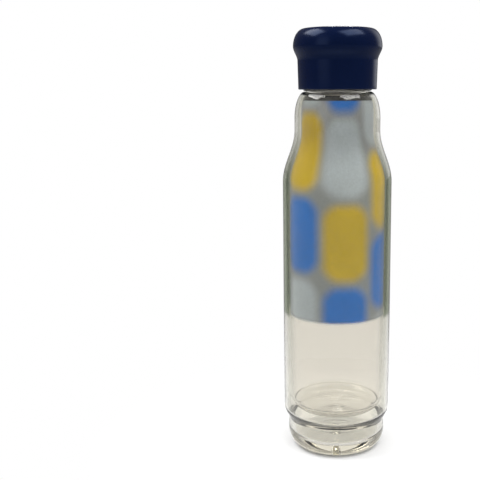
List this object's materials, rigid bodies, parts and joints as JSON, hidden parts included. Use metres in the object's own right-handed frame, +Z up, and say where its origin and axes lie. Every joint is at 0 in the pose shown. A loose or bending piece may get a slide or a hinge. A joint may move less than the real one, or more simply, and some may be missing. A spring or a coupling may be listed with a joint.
{
  "type": "vacuum insulated bottle",
  "caption": "Slim double-wall glass drinking bottle with a stepped foot, a mushroom-shaped screw lid and a perforated steel tea infuser that hangs from the lid into the neck.",
  "frame": {"origin": "middle of the flat ring that the foot stands on", "axes": "+Z up along the axis of the bottle, from the foot to the lid; the part is round, so X and Y are free"},
  "size_m": [0.07, 0.07, 0.2724],
  "materials": {
    "clear_glass": "clear, polished, borosilicate",
    "navy_gloss": "gloss navy",
    "black_plastic": "satin black",
    "silicone": "matt, translucent white",
    "stainless": "polished stainless sheet"
  },
  "bodies": {
    "bottle": {"outer_glass": "clear_glass", "inner_glass": "clear_glass", "evacuation_seal": "clear_glass"},
    "gasket": {"lid_gasket": "silicone"},
    "lid": {"lid_shell": "navy_gloss", "lid_liner": "black_plastic", "grip_ring": "silicone"},
    "infuser": {"infuser_collar": "stainless", "infuser_basket": "stainless", "infuser_end_ring": "stainless", "infuser_mesh": "stainless"}
  },
  "joints": [
    {"name": "lid_rise", "type": "slide", "parent": "bottle", "child": "gasket", "axis": [0, 0, 1], "range_m": [0, 0.072]},
    {"name": "lid_turn", "type": "hinge", "parent": "gasket", "child": "lid", "pos_m": [0, 0, 0.2528], "axis": [0, 0, 1], "range_deg": [0, 2160]},
    {"name": "infuser_pull", "type": "slide", "parent": "lid", "child": "infuser", "axis": [0, 0, -1], "range_m": [0, 0.022]}
  ],
  "couplings": [
    {"joint": "lid_rise", "follows": "lid_turn", "m_per_rad": 0.0019098}
  ]
}
